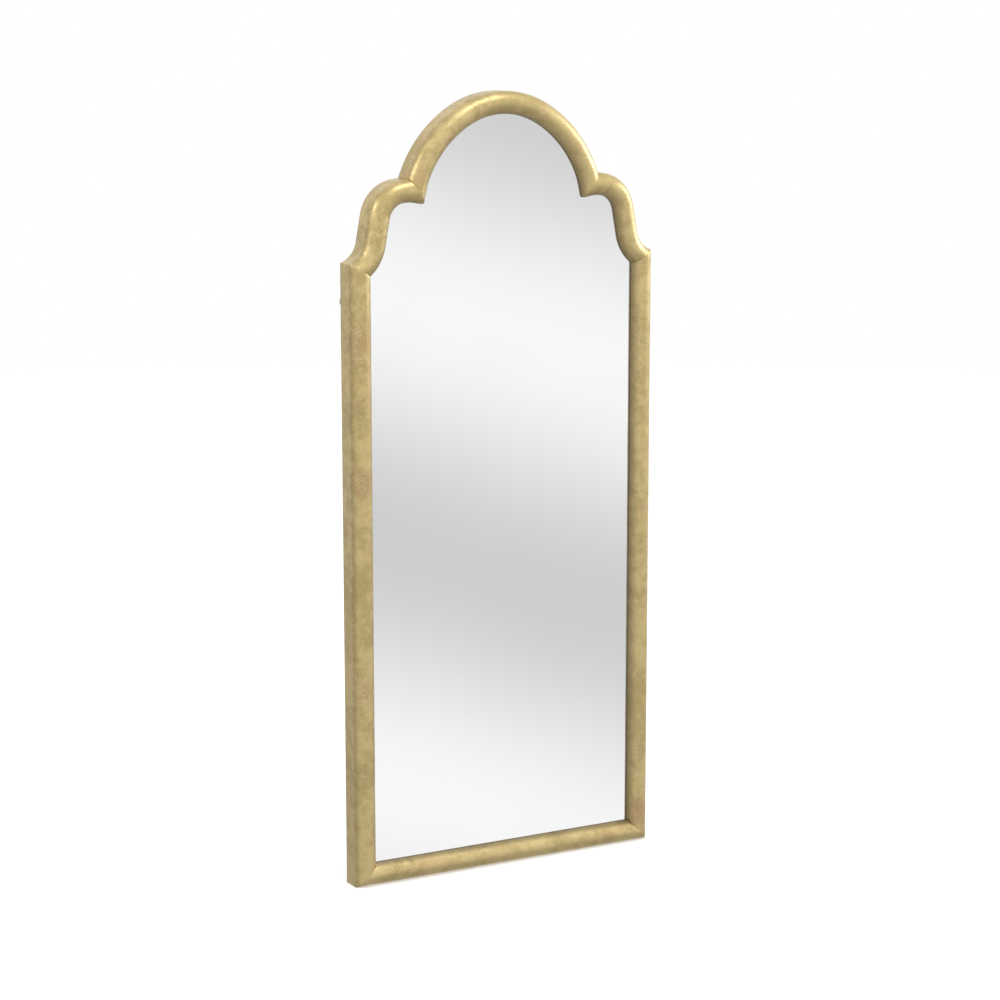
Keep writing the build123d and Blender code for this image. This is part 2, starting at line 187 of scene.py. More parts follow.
class MirrorHardware(bpy.types.PropertyGroup):
    """Screws, hangers, braces and feet at the back."""

    head_radius: length("Head radius", "Radius of a screw's countersunk head", 0.00312)
    head_height: length("Head height", "Depth of the countersunk cone", 0.0016)
    head_dome: length("Head dome", "Rise of the head's middle over its rim", 0.00025)
    shank_radius: length("Shank radius", "Radius over the thread", 0.0016)
    thread_pitch: length("Thread pitch", "From one turn of the thread to the next", 0.0016)
    recess_depth: length("Recess depth", "Depth of the cross recess", 0.0011)
    recess_reach: length("Recess reach", "Length of each arm of the cross", 0.0019)
    recess_half: length("Recess half width", "Half the width of an arm of the cross", 0.00042)
    wire_radius: length("Wire radius", "Radius of the hanger ring's wire", 0.0015)
    ring_corner: length("Ring corner", "Bend of the wire at the straight bar's ends", 0.0022)
    ring_leg: length("Ring leg", "Straight leg between bend and bow", 0.0025)
    plate_edge: length("Plate edge", "Rounding of the pressed plates' edges", 0.00025)
    foot_edge: length("Foot edge", "Rounding of the rubber foot's rim", 0.0012)


class MirrorStage(bpy.types.PropertyGroup):
    """Floor, lamps and surroundings."""

    floor: colour("Floor", "Pale floor", 235, 235, 235)
    floor_lift: share("Floor lift", "Light that the camera alone sees on the floor", 0.35)
    floor_radius: length("Floor radius", "Radius of the floor", 7.0)
    top_lamp: amount("Top lamp", "Power of the lamp above and in front, in watts", 22)
    right_lamp: amount("Right lamp", "Power of the lamp on the right, in watts", 24)
    left_lamp: amount("Left lamp", "Power of the lamp on the left, in watts", 13)
    surroundings: share("Surroundings", "Level of the surroundings at eye height", 0.80)


def sizes(name):
    return getattr(bpy.context.scene, name)


# Surfaces

def toward(turn):
    """Unit vectors in the mirror's plane, turned from +X towards +Z."""
    return np.stack([np.cos(turn), np.sin(turn)], -1)


def bearing(centre, point):
    """Angle of each point seen from the centre."""
    away = point - centre
    return np.arctan2(away[..., 1], away[..., 0])


class Outline:
    """Right-hand half of the outline, as tangent lines and arcs that can be moved in."""

    def __init__(self):
        s = sizes("mirror_outline")
        quarter = np.pi / 2
        self.half, self.foot, self.top = s.width / 2, -s.height / 2, s.height / 2
        self.stile_top = self.top - s.head_rise
        self.flank, self.cap = s.flank_lean, quarter - s.shoulder_slope
        self.spring = quarter - s.crown_half_angle
        self.flare_radius, self.shoulder_radius = s.flare_radius, s.shoulder_radius
        self.haunch_radius, self.crown_radius = s.haunch_radius, s.crown_radius
        corner = np.array([self.half, self.stile_top])
        self.flare = corner + s.flare_radius * toward(quarter - s.flare_slope)
        head = (self.flare - s.flare_radius * toward(self.flank)
                + s.flank_length * toward(self.flank + quarter))
        self.shoulder = head - s.shoulder_radius * toward(self.flank)
        self.crown = np.array([0, self.top - s.crown_radius])
        self.haunch = self.crown - (s.haunch_radius - s.crown_radius) * toward(self.spring)
        self.tip_drop, self.tip_reach = s.tip_drop, s.tip_reach

    def drawn_down(self, rows, tip):
        """Rows with the places near the tip lowered by a bell curve of their distance from it."""
        side = np.sign(rows[..., :1]) * np.array([1.0, 0]) + np.array([0, 1.0])
        away = np.linalg.norm(rows - tip * side, axis=-1)
        drop = self.tip_drop * np.exp(-(away / self.tip_reach) ** 2)
        return rows - drop[..., None] * np.array([0, 1.0])

    def bottom_corner(self, inset):
        return np.stack([self.half - inset, self.foot + inset], -1)

    def stile_corner(self, inset):
        """Where the stile's line meets the flare's circle, both moved in."""
        x = self.half - inset
        drop = np.sqrt((self.flare_radius + inset) ** 2 - (x - self.flare[0]) ** 2)
        return np.stack([x, self.flare[1] - drop], -1)

    def cusp(self, inset):
        """Where the shoulder meets the haunch's circle, both moved in: on the shoulder's straight
        top, or on its bend where that top has run out."""
        haunch = self.haunch_radius - inset
        bend = self.shoulder_radius - inset
        start = self.shoulder + bend[:, None] * toward(self.cap)
        along = toward(self.cap + np.pi / 2)
        offset = start - self.haunch
        half = offset @ along
        travel = -half - np.sqrt(half ** 2 - (offset ** 2).sum(-1) + haunch ** 2)
        between = self.shoulder - self.haunch
        apart = np.hypot(*between)
        reach = (apart ** 2 + haunch ** 2 - bend ** 2) / (2 * apart)
        rise = np.sqrt(haunch ** 2 - reach ** 2)
        ahead = between / apart
        aside = np.array([-ahead[1], ahead[0]])
        on_bend = self.haunch + reach[:, None] * ahead + rise[:, None] * aside
        return np.where(travel[:, None] > 0, start + travel[:, None] * along, on_bend)


def run_shares(run, step, mitre, close_start, close_end):
    """Shares of the way along a run, one step apart, with close rows at its mitred ends."""
    even = np.linspace(0, 1, max(2, int(round(run / step)) + 1))
    close = np.array([0, 0.5, 1, 2]) * mitre / run
    inside = (even > 1.5 * close[-1] * close_start) & (even < 1 - 1.5 * close[-1] * close_end)
    start = close if close_start else [0]
    end = 1 - close[::-1] if close_end else [1]
    return np.concatenate([start, even[inside], end])


def line_rows(start, end, shares):
    """Straight rows: start plus the share of the way to the end, for each inset."""
    return start + (end - start) * shares[:, None, None]


def arc_rows(centre, radius, start, end, shares):
    """Curved rows: the centre plus the radius turned by the share of the way between two angles."""
    turn = start + (end - start) * shares[:, None]
    return centre + radius[:, None] * toward(turn)


def join_rows(parts):
    """Runs laid end to end, without the rows that they share."""
    return np.concatenate([parts[0]] + [part[1:] for part in parts[1:]])


def moulding_section():
    """Closed section as inset and depth: land, rounded back edge, side, half round and rabbet.
    Also gives each point's share of gold and wear, its painted shade (the recess mark: lip, rabbet
    and sight edge, and darker towards the outer back edge), and the zone that may wave."""
    s = sizes("mirror_section")
    half, rise = s.width / 2, s.depth - s.side_height
    radius = (half ** 2 + rise ** 2) / (2 * rise)
    lean = np.arcsin(half / radius)
    seat, wall = s.side_height - s.lip, s.width - s.rabbet
    land = wall - s.ledge
    sweep = np.linspace(np.pi / 2 + lean, np.pi / 2 - lean, 45)
    front = np.array([half, s.depth - radius]) + radius * toward(sweep)
    edge = s.back_edge + s.back_edge * toward(np.linspace(1.5 * np.pi, np.pi, 8))
    side = np.stack([np.zeros(8), np.linspace(s.back_edge, s.side_height, 10)[1:-1]], -1)
    strip = np.array([[land - 0.0004, 0], [land * 0.6, 0], [0.005, 0], [0.0032, 0]])
    lip = np.array([[s.width, s.side_height - 0.0012], [s.width, seat + 0.0003],
                    [s.width - 0.0003, seat]])
    rabbet = np.array([[wall, seat], [wall, s.panel], [land, s.panel], [land, 0.0004]])
    parts = [strip, edge, side, front, lip, rabbet]
    counts = np.cumsum([0] + [len(part) for part in parts])
    points = np.concatenate(parts)
    index = np.arange(len(points))
    gold = ((index >= counts[1]) & (index < counts[4] + 1)).astype(float)
    # Painted shade: the lip and rabbet are fully dark and the half round darkens towards the sight
    # edge, standing in for the shade in the recess; the outer side also darkens towards its back
    # edge.
    sight_shade_from, back_darken_depth = 0.028, 0.004
    sight_shade = 0.62 * np.clip((points[:, 0] - sight_shade_from) / (s.width - sight_shade_from), 0, 1) ** 1.6
    recess = np.where(index >= counts[4], 1.0, sight_shade) * (index >= counts[3]) * (index < counts[5])
    outer = (index >= counts[1]) & (index < counts[3])
    recess += 0.6 * np.clip(1 - points[:, 1] / back_darken_depth, 0, 1) * outer
    waving = ((index > counts[2]) & (index < counts[4])).astype(float)
    steps = np.hypot(*np.diff(points, axis=0, append=points[:1]).T)
    around = np.concatenate([[0], np.cumsum(steps)])
    lines = around[[counts[1] + 4, counts[3], counts[4]]]
    wear = np.exp(-((around[:-1, None] - lines) / 0.0012) ** 2).max(1)
    return points, around, {"gold": gold, "wear": wear, "recess": recess}, waving


def waves(points):
    """Slow waves of a hand-worked surface: sines of the place along five slanting directions."""
    draw = np.random.default_rng(11)
    total = np.zeros(points.shape[:-1])
    for _ in range(5):
        way = draw.normal(size=3)
        place_along = points @ (way / np.linalg.norm(way))
        total += np.sin(place_along * draw.uniform(70, 260) + draw.uniform(0, 6))
    return total / 5


def face_normals(points):
    """Outward normals of a grid, from the cross product of its row and column steps."""
    along = np.gradient(points, axis=0)
    across = np.roll(points, -1, 1) - np.roll(points, 1, 1)
    normal = np.cross(across, along)
    return normal / np.maximum(np.linalg.norm(normal, axis=-1, keepdims=True), 1e-12)


def signed_volume(corners, faces):
    """Six times the volume inside quads, positive where they face outwards."""
    a, b, c, d = (corners[faces[:, i]] for i in range(4))
    return (np.cross(a, b) * c).sum() + (np.cross(a, c) * d).sum()


def tube(name, points, along=None, around=None, marks=None, loop=False, crease=35):
    """Closed piece from a grid whose rows are closed sections. Its ends are filled, or joined to
    each other where it is a loop. along and around give its UV map in metres."""
    rows, columns = points.shape[:2]
    corners = points.reshape(-1, 3)
    steps = rows if loop else rows - 1
    grids = np.meshgrid(np.arange(steps), np.arange(columns), indexing="ij")
    r, c = (grid.ravel() for grid in grids)
    up, on = (r + 1) % rows, (c + 1) % columns
    quads = np.stack([r * columns + c, r * columns + on, up * columns + on, up * columns + c], -1)
    rims = [] if loop else [np.arange(columns)[::-1], (rows - 1) * columns + np.arange(columns)]
    uv = np.zeros((len(quads), 4, 2))
    if along is not None:
        uv[..., 0] = along.ravel()[quads]
        uv[..., 1] = np.stack([around[c], around[c + 1], around[c + 1], around[c]], -1)
    middle = corners.mean(0)
    if signed_volume(corners - middle, quads) < 0:
        quads, uv, rims = quads[:, ::-1], uv[:, ::-1], [rim[::-1] for rim in rims]
    mesh = bpy.data.meshes.new(name)
    mesh.from_pydata(corners.tolist(), [], quads.tolist() + [rim.tolist() for rim in rims])
    smooth = np.zeros(len(mesh.polygons), bool)
    smooth[:len(quads)] = True
    mesh.polygons.foreach_set("use_smooth", smooth)
    mesh.set_sharp_from_angle(angle=np.radians(crease))
    if along is not None:
        flat = np.zeros((len(mesh.loops), 2), np.float32)
        flat[:len(quads) * 4] = uv.reshape(-1, 2)
        mesh.uv_layers.new(name="Along").data.foreach_set("uv", flat.ravel())
    for mark, values in (marks or {}).items():
        held = mesh.attributes.new(mark, "FLOAT", "POINT")
        spread = np.broadcast_to(values, (rows, columns)).astype(np.float32)
        held.data.foreach_set("value", spread.ravel())
    return mesh


def linked(name, data):
    """New object in the scene."""
    made = bpy.data.objects.new(name, data)
    bpy.context.scene.collection.objects.link(made)
    return made


def place(name, mesh, material, body, slot_name, *nodes):
    """Puts a finished mesh in the scene for the CAD nodes that it stands for."""
    piece = linked(name, mesh)
    mesh.materials.clear()
    mesh.materials.append(material)
    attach(piece, body)
    if nodes:
        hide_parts(*nodes)
    return piece


def paint(material, *nodes):
    """Gives CAD nodes a material in place of their plain one."""
    for node in nodes:
        held = frame["nodes"][node].data.materials
        held.clear()
        held.append(material)


# Shader maths

class Signal:
    """A value in a material. Arithmetic on it adds Math nodes, so 1 - mask is a new value."""

    def __init__(self, tree, socket=None):
        self.tree, self.socket = tree, socket

    def node(self, kind, inputs=None, output=0, stops=None, **settings):
        """Adds a node: its settings first, then the values or links of its sockets."""
        made = self.tree.nodes.new("ShaderNode" + kind)
        for key, value in settings.items():
            setattr(made, key, value)
        if stops:
            ramp = made.color_ramp.elements
            for _ in stops[2:]:
                ramp.new(0.5)
            for element, (position, value) in zip(ramp, stops):
                element.position, element.color = position, value
        for key, value in (inputs or {}).items():
            if isinstance(value, Signal):
                self.tree.links.new(value.socket, made.inputs[key])
            else:
                made.inputs[key].default_value = value
        return Signal(self.tree, made.outputs[output])

    def math(self, operation, *others, before=()):
        values = dict(enumerate((*before, self, *others)))
        return self.node("Math", values, operation=operation)

    def __add__(self, other):
        return self.math("ADD", other)

    def __sub__(self, other):
        return self.math("SUBTRACT", other)

    def __rsub__(self, other):
        return self.math("SUBTRACT", before=(other,))

    def __mul__(self, other):
        return self.math("MULTIPLY", other)

    def __truediv__(self, other):
        return self.math("DIVIDE", other)

    __radd__, __rmul__ = __add__, __mul__

    def rise(self, low, high):
        """Smooth step from 0 at low to 1 at high."""
        return self.node("MapRange", {"Value": self, "From Min": low, "From Max": high},
                         interpolation_type="SMOOTHSTEP")

    def blend(self, first, second):
        """Colour that goes from first to second as this value goes from 0 to 1."""
        inputs = {0: self, 6: paint_value(first), 7: paint_value(second)}
        return self.node("Mix", inputs, output=2, data_type="RGBA")

    def noise(self, scale, detail=2.0, rough=0.5, warp=0.0, at=None):
        """Noise of a vector, in features per metre."""
        inputs = {"Vector": at or self, "Scale": scale, "Detail": detail, "Roughness": rough,
                  "Distortion": warp}
        return self.node("TexNoise", inputs)

    def cells(self, scale):
        """Distance to the nearest of scattered points."""
        return self.node("TexVoronoi", {"Vector": self, "Scale": scale}, output="Distance")

    def stretched(self, *factors):
        """Vector with each part multiplied, to draw a pattern out along one way."""
        return self.node("VectorMath", {0: self, 1: factors}, operation="MULTIPLY")

    def parts(self):
        made = self.node("SeparateXYZ", {0: self}).socket.node
        return [Signal(self.tree, made.outputs[i]) for i in range(3)]


def paint_value(value):
    """Colour sockets take four numbers, and a colour property holds three."""
    return value if isinstance(value, Signal) else (*value[:3], 1.0)


def new_material(name, metallic=0.0, **constants):
    """Material with one Principled shader, and a Signal that adds nodes beside it."""
    made = bpy.data.materials.new(name)
    made.use_nodes = True
    shader = made.node_tree.nodes["Principled BSDF"]
    shader.inputs["Metallic"].default_value = metallic
    for key, value in constants.items():
        shader.inputs[key.replace("_", " ")].default_value = value
    return made, Signal(made.node_tree), shader


def wire_up(start, shader, colour_value, rough, height, metallic=None, depth=0.0002):
    """Feeds the shader's colour, roughness, bump and, where it varies, metallic."""
    bump = start.node("Bump", {"Strength": 1.0, "Distance": depth, "Height": height})
    feeds = {"Base Color": colour_value, "Roughness": rough, "Normal": bump, "Metallic": metallic}
    for key, value in feeds.items():
        if value is not None:
            start.tree.links.new(value.socket, shader.inputs[key])


# Materials

def gilding_material():
    """Toned gold leaf on clay over wood: patches of olive and rose, leaf laps, dark specks in
    clusters, rubbed arrises, bare wood at the back, umber painted shade on the lip, in the rabbet
    and towards the sight edge, and darker along the outer back edge."""
    g = sizes("mirror_gilding")
    made, start, shader = new_material("toned_gold_leaf", Coat_Weight=0.3, Coat_Roughness=0.32)
    spot = start.node("TexCoord", output="Object")
    along, around, _ = start.node("UVMap", uv_map="Along").parts()
    gold, wear, recess = (start.node("Attribute", output="Fac", attribute_name=mark)
                          for mark in ("gold", "wear", "recess"))
    broad, cloud = spot.noise(7, 3), spot.noise(52, 5, 0.65)
    fine, grain = spot.noise(260, 5, 0.6), spot.noise(1400, 3)

    leaf_place = along / g.leaf_size + (around * 30).math("SINE") * 0.02
    leaf = leaf_place + (fine - 0.5) * 0.04
    tone = start.node("TexWhiteNoise", {"W": leaf.math("FLOOR")}, noise_dimensions="1D")
    lap = 1 - leaf.math("PINGPONG", 0.5).rise(0.0, 0.014)
    lap = lap * cloud.rise(0.40, 0.62) * g.laps

    olive = (cloud * 0.7 + broad * 0.3 + (tone - 0.5) * 0.06).rise(0.42, 0.60)
    rose = (spot.noise(16, 4, 0.65, at=spot.stretched(1, 1, 0.7)) + fine * 0.15).rise(0.60, 0.80)
    surface = (olive * 0.65).blend(g.leaf, g.olive)
    surface = (rose * 0.75).blend(surface, g.rose)
    surface = (grain.rise(0.45, 0.75) * 0.24).blend(surface, g.umber)

    cluster = spot.noise(14, 2).rise(0.40, 0.58)
    worm = 1 - (spot.noise(420, 2, 0.5, 1.5) - 0.5).math("ABSOLUTE").rise(0.01, 0.05)
    dots = 1 - spot.cells(520).rise(0.16, 0.30)
    speck = (worm * fine.rise(0.45, 0.60) + dots * 0.6) * cluster * g.specks
    speck = speck.math("MINIMUM", 1.0)
    surface = (speck * 0.75).blend(surface, g.umber)

    rubbed = wear * (fine * 0.6 + cloud * 0.6).rise(0.58, 0.74)
    clay = (rubbed * 0.7 + lap).math("MINIMUM", 1.0)
    surface = clay.blend(surface, g.clay)
    # Painted shade: umber over the lip, the rabbet and the half round towards the sight edge, and
    # darker along the outer back edge, all from the recess mark.
    dark = recess * (0.8 + fine * 0.4)
    surface = dark.blend(surface, g.umber)

    lengthwise = start.node("CombineXYZ", {0: along * 0.06, 1: around, 2: 0.0})
    fibre = spot.noise(90, 5, 0.7, at=lengthwise)
    wood = fibre.rise(0.35, 0.70).blend(g.bare_wood, [c * 0.55 for c in g.bare_wood])
    leafed = (gold + (fine - 0.5) * 0.5).rise(0.35, 0.65)
    surface = leafed.blend(wood, surface)
    shine = leafed * (1 - speck * 0.5) * (1 - clay * 0.6) * (1 - dark * 0.7)
    rough = g.roughness + 0.04 + (fine - 0.5) * 0.16 + speck * 0.2
    rough = rough + (1 - leafed) * 0.35 + dark * 0.2
    wrinkle = fine * 0.5 + grain * 0.18 - speck * 0.5 - lap * 0.3 + cloud * 0.5
    wire_up(start, shader, surface, rough, wrinkle, shine, depth=0.00018)
    return made


def plain_material(name, low, high, scale, rough=(0.5, 0.6), stretch=(1, 1, 1), metallic=0.0,
                   bump=0.0001, flecks=None, **constants):
    """Material between two tones: noise drawn out along one way, with finer noise in it."""
    made, start, shader = new_material(name, metallic, **constants)
    spot = start.node("TexCoord", output="Object")
    coarse = spot.noise(scale, 4, 0.6, at=spot.stretched(*stretch))
    fine = spot.noise(scale * 9, 3, 0.6, at=spot.stretched(*stretch))
    mixed = coarse * 0.7 + fine * 0.3
    surface = mixed.rise(0.32, 0.68).blend(low, high)
    if flecks:
        surface = (1 - spot.cells(scale * 14).rise(0.10, 0.32)).blend(surface, flecks)
    rough = rough[0] + mixed * (rough[1] - rough[0])
    wire_up(start, shader, surface, rough, mixed, depth=bump)
    return made


def silver_material():
    """Silvered glass: bright and flat, with a faint haze in its tone."""
    made, start, shader = new_material("silvered_glass", metallic=1.0, Roughness=0.0)
    spot = start.node("TexCoord", output="Object")
    haze = spot.noise(3, 2)
    surface = haze.rise(0.3, 0.7).blend((0.93, 0.935, 0.93), (0.945, 0.95, 0.945))
    start.tree.links.new(surface.socket, shader.inputs["Base Color"])
    return made


# Pieces

def moulding_mesh(name, rows, mirrored):
    """Moulding from its rows in the mirror's plane: every row is the section at one place, its
    depth laid off from the wall, with waves along the normals and a groove at each mitred end."""
    s = sizes("mirror_section")
    section, around, marks, waving = moulding_section()
    depth = np.broadcast_to(-section[:, 1], rows.shape[:2])
    points = np.stack([rows[..., 0], depth, rows[..., 1]], -1)
    run = np.linalg.norm(np.diff(points, axis=0), axis=-1)
    along = np.concatenate([np.zeros((1, len(section))), np.cumsum(run, 0)])
    to_end = np.minimum(along, along[-1] - along)
    calm_end = 0.012
    fade = np.clip(to_end / calm_end, 0, 1) ** 2
    groove = s.groove_depth * np.clip(1 - to_end / (2 * s.groove_width), 0, 1) ** 2
    move = (waves(points) * s.waviness * fade - groove) * waving
    normal = face_normals(points)
    middle = len(section) // 2
    if normal[len(points) // 2, middle, 1] > 0:
        normal = -normal
    points = points + normal * move[..., None]
    if mirrored:
        points = points * [-1, 1, 1]
    middle_along = np.broadcast_to(along[:, middle:middle + 1], along.shape)
    return tube(name, points, middle_along, around, marks)


def moulding_rows():
    """Rows of the stile, the shoulder, the arch and the rail, each from mitre to mitre."""
    o, s = Outline(), sizes("mirror_section")
    inset = moulding_section()[0][:, 0]
    bottom, corner, cusp = o.bottom_corner(inset), o.stile_corner(inset), o.cusp(inset)
    flip = np.array([-1, 1])
    mitre = s.groove_width
    stile = line_rows(bottom, corner, run_shares(STILE_RUN, STRAIGHT_STEP, mitre, True, True))
    rail = line_rows(bottom * flip, bottom, run_shares(RAIL_RUN, STRAIGHT_STEP, mitre, True, True))

    flare, bend = o.flare_radius + inset, o.shoulder_radius - inset
    low = o.flare + flare[:, None] * toward(o.flank + np.pi)
    high = o.shoulder + bend[:, None] * toward(o.flank)
    end = o.shoulder + bend[:, None] * toward(o.cap)
    straight = cusp[:, 0] < end[:, 0]
    bend_end = np.where(straight, o.cap, bearing(o.shoulder, cusp))
    top_start = np.where(straight[:, None], end, cusp)
    shoulder = join_rows([
        arc_rows(o.flare, flare, bearing(o.flare, corner) + 2 * np.pi, o.flank + np.pi,
                 run_shares(FLARE_RUN, TIGHT_STEP, mitre, True, False)),
        line_rows(low, high, run_shares(FLANK_RUN, GENTLE_STEP, mitre, False, False)),
        arc_rows(o.shoulder, bend, o.flank, bend_end,
                 run_shares(BEND_RUN, TIGHT_STEP, mitre, False, False)),
        line_rows(top_start, cusp, run_shares(TOP_RUN, TIGHT_STEP, mitre, False, True)),
    ])

    haunch = arc_rows(o.haunch, o.haunch_radius - inset, bearing(o.haunch, cusp), o.spring,
                      run_shares(ARCH_RUN, GENTLE_STEP, mitre, True, False))
    crown = arc_rows(o.crown, o.crown_radius - inset, o.spring, np.pi - o.spring,
                     run_shares(ARCH_RUN, GENTLE_STEP, mitre, False, False))
    arch = join_rows([haunch, crown, haunch[::-1] * flip])
    tip = o.cusp(np.array([s.width]))[0]
    return {"stile": stile, "bottom_rail": rail,
            "shoulder": o.drawn_down(shoulder, tip), "top_arch": o.drawn_down(arch, tip)}


def clusters(node, reach=0.005):
    """Centres of a node's outermost points at the back, grouped where they lie within reach."""
    mesh = frame["nodes"][node].data
    points = np.zeros(len(mesh.vertices) * 3)
    mesh.vertices.foreach_get("co", points)
    points = points.reshape(-1, 3)
    left = points[points[:, 1] > points[:, 1].max() - 1e-5]
    centres = []
    while len(left):
        near = np.hypot(*(left - left[0])[:, [0, 2]].T) < 2 * reach
        group = left[near]
        centres.append((group.min(0) + group.max(0)) / 2)
        left = left[~near]
    return np.array(centres)


def screw_grid(length_in, turn):
    """Countersunk screw as radius and height on a grid of angles and stations. The head's top is
    a shallow dome less a cross: its depth falls off from the arms' lines and with the radius.
    The shank's radius follows a triangle wave of the height and the angle, which is the thread."""
    h = sizes("mirror_hardware")
    a = np.linspace(0, 2 * np.pi, 48, endpoint=False)
    r = h.head_radius * np.array([0.02, 0.09, 0.16, 0.23, 0.30, 0.37, 0.44, 0.51, 0.57, 0.63,
                                  0.70, 0.80, 0.90, 0.97])
    angle_grid, radius = np.meshgrid(a, r)
    x, y = radius * np.cos(angle_grid), radius * np.sin(angle_grid)
    off_arm = np.minimum(abs(x), abs(y))
    arm = np.clip((h.recess_half * 1.25 - off_arm) / (h.recess_half * 0.5), 0, 1)
    inside = np.clip((h.recess_reach - radius) / (h.recess_reach * 0.25), 0, 1)
    slope = 1 - 0.6 * radius / h.recess_reach
    top = h.head_dome * (1 - (radius / h.head_radius) ** 2)
    top = top - h.recess_depth * arm * inside * slope
    core = h.shank_radius * 0.72
    threaded = np.linspace(-h.head_height - 0.001, -length_in * 0.86, 40)
    heights = np.concatenate([[-0.00008, -h.head_height], threaded])
    turns = (heights[:, None] / h.thread_pitch + a / (2 * np.pi)) % 1
    thread = core + (h.shank_radius - core) * (1 - abs(2 * turns - 1))
    thread[0], thread[1] = h.head_radius, h.shank_radius
    tip_radius = core * np.array([0.6, 0.05])[:, None] * np.ones_like(a)
    tip_height = -length_in * np.array([0.94, 1.0])[:, None] * np.ones_like(a)
    radius = np.concatenate([radius, thread, tip_radius])
    height = np.concatenate([top, heights[:, None] * np.ones_like(a), tip_height])
    turned = a + turn
    return np.stack([radius * np.cos(turned), height, radius * np.sin(turned)], -1)


def settled(name, held):
    """New mesh from a bmesh, which is freed."""
    made = bpy.data.meshes.new(name)
    held.to_mesh(made)
    held.free()
    return made


def joined(name, meshes):
    """One mesh from several, through a throw-away bmesh."""
    held = bmesh.new()
    for mesh in meshes:
        held.from_mesh(mesh)
    return settled(name, held)


def screws_mesh(node):
    """A screw at each of the node's screws, each with its cross turned its own way."""
    low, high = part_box(node)
    turns = np.random.default_rng(5).uniform(0, np.pi / 2, 64)
    meshes = [tube(node + "_one", screw_grid(high[1] - low[1], turn) + centre, crease=28)
              for centre, turn in zip(clusters(node), turns)]
    return joined(node + "_turned", meshes)


def foot_mesh(name, node):
    """Rubber foot: a profile with a rounded rim and a shallow dish, turned about its axis."""
    h = sizes("mirror_hardware")
    low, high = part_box(node)
    centre, radius, height = (low + high) / 2, (high[0] - low[0]) / 2, high[1] - low[1]
    turn = np.linspace(0, np.pi / 2, 9)
    rim = h.foot_edge
    dish_out = radius * np.array([0.72, 0.66, 0.60, 0.30, 0.02])
    dish_up = height - np.array([0, 0.0002, 0.0005, 0.0006, 0.0006])
    out = np.concatenate([[radius * 0.96, radius], radius - rim + rim * np.cos(turn), dish_out])
    up = np.concatenate([[0, height * 0.08], height - rim + rim * np.sin(turn), dish_up])
    a = np.linspace(0, 2 * np.pi, 64, endpoint=False)
    ring = toward(a)
    across, upright = out[:, None] * ring[:, 0], out[:, None] * ring[:, 1]
    off_wall = low[1] + up[:, None] * np.ones_like(a)
    points = np.stack([centre[0] + across, off_wall, centre[2] + upright], -1)
    return tube(name, points, crease=50)


def ring_mesh(name, joint, side_half):
    """Hanger ring: a circle carried round a closed path of a bar, two bends, two legs and a bow."""
    h = sizes("mirror_hardware")
    x, r, leg = side_half, h.ring_corner, h.ring_leg
    quarter, half_turn = np.linspace(np.pi / 2, 0, 9), np.linspace(0, -np.pi, 49)
    right = np.array([x - r, -r]) + r * toward(quarter)
    bow = np.array([0, -r - leg]) + x * toward(half_turn)
    left = np.array([-x + r, -r]) + r * toward(np.linspace(np.pi, np.pi / 2, 9))
    bar = np.stack([np.linspace(-x + r, x - r, 13)[1:-1], np.zeros(11)], -1)
    path = np.concatenate([right, bow, left, bar])
    ahead = np.roll(path, -1, 0) - np.roll(path, 1, 0)
    ahead /= np.linalg.norm(ahead, axis=1, keepdims=True)
    aside = np.stack([-ahead[:, 1], ahead[:, 0]], -1)
    a = np.linspace(0, 2 * np.pi, 20, endpoint=False)
    across = h.wire_radius * np.cos(a)[None, :, None] * aside[:, None, :]
    flat = path[:, None, :] + across
    deep = np.broadcast_to(h.wire_radius * np.sin(a), flat.shape[:2])
    points = np.stack([flat[..., 0], deep, flat[..., 1]], -1) + np.array(joint["pos_m"])
    return tube(name, points, loop=True, crease=60)


def pressed_copy(name, node):
    """The CAD node's plates as one merged, smooth-shaded copy, whose edges a Bevel modifier can
    round.
    """
    held = bmesh.new()
    held.from_mesh(frame["nodes"][node].data)
    bmesh.ops.remove_doubles(held, verts=held.verts, dist=1e-6)
    bmesh.ops.dissolve_limit(held, angle_limit=np.radians(1.5), verts=held.verts, edges=held.edges)
    made = settled(name, held)
    made.polygons.foreach_set("use_smooth", np.ones(len(made.polygons), bool))
    made.set_sharp_from_angle(angle=np.radians(35))
    return made


class Build:
    """What the operators share: they work in the row frame and can't be undone."""

    bl_options = {"REGISTER"}


class MIRROR_OT_mouldings(Build, bpy.types.Operator):
    """Six gilt mouldings, mitred to each other"""

    bl_idname = "mirror.mouldings"
    bl_label = "Mouldings"

    def execute(self, context):
        gilding = gilding_material()
        rows = moulding_rows()
        for side, mirrored in (("right", False), ("left", True)):
            for part in ("stile", "shoulder"):
                node = f"{side}_{part}"
                mesh = moulding_mesh(node + "_gilt", rows[part], mirrored)
                place(node + "_gilt", mesh, gilding, "frame", "gilt_wood", node)
        for node in ("top_arch", "bottom_rail"):
            mesh = moulding_mesh(node + "_gilt", rows[node], False)
            place(node + "_gilt", mesh, gilding, "frame", "gilt_wood", node)
        return {"FINISHED"}


class MIRROR_OT_sheets(Build, bpy.types.Operator):
    """Silvered glass, foam, hardboard and the back panel"""

    bl_idname = "mirror.sheets"
    bl_label = "Glass and sheets"

    def execute(self, context):
        paint(silver_material(), "mirror_glass")
        foam = plain_material("white_foam", (0.62, 0.64, 0.66), (0.74, 0.75, 0.76), 60, (0.8, 0.9))
        paint(foam, "foam_sheet")
        hardboard = plain_material("brown_hardboard", (0.11, 0.055, 0.026), (0.075, 0.038, 0.018),
                                   40, (0.45, 0.6))
        paint(hardboard, "backing_board")
        fibreboard = plain_material("raw_fibreboard", (0.33, 0.21, 0.115), (0.24, 0.145, 0.075),
                                    24, (0.62, 0.78), flecks=(0.14, 0.08, 0.04), bump=0.00015)
        paint(fibreboard, "back_panel")
        return {"FINISHED"}


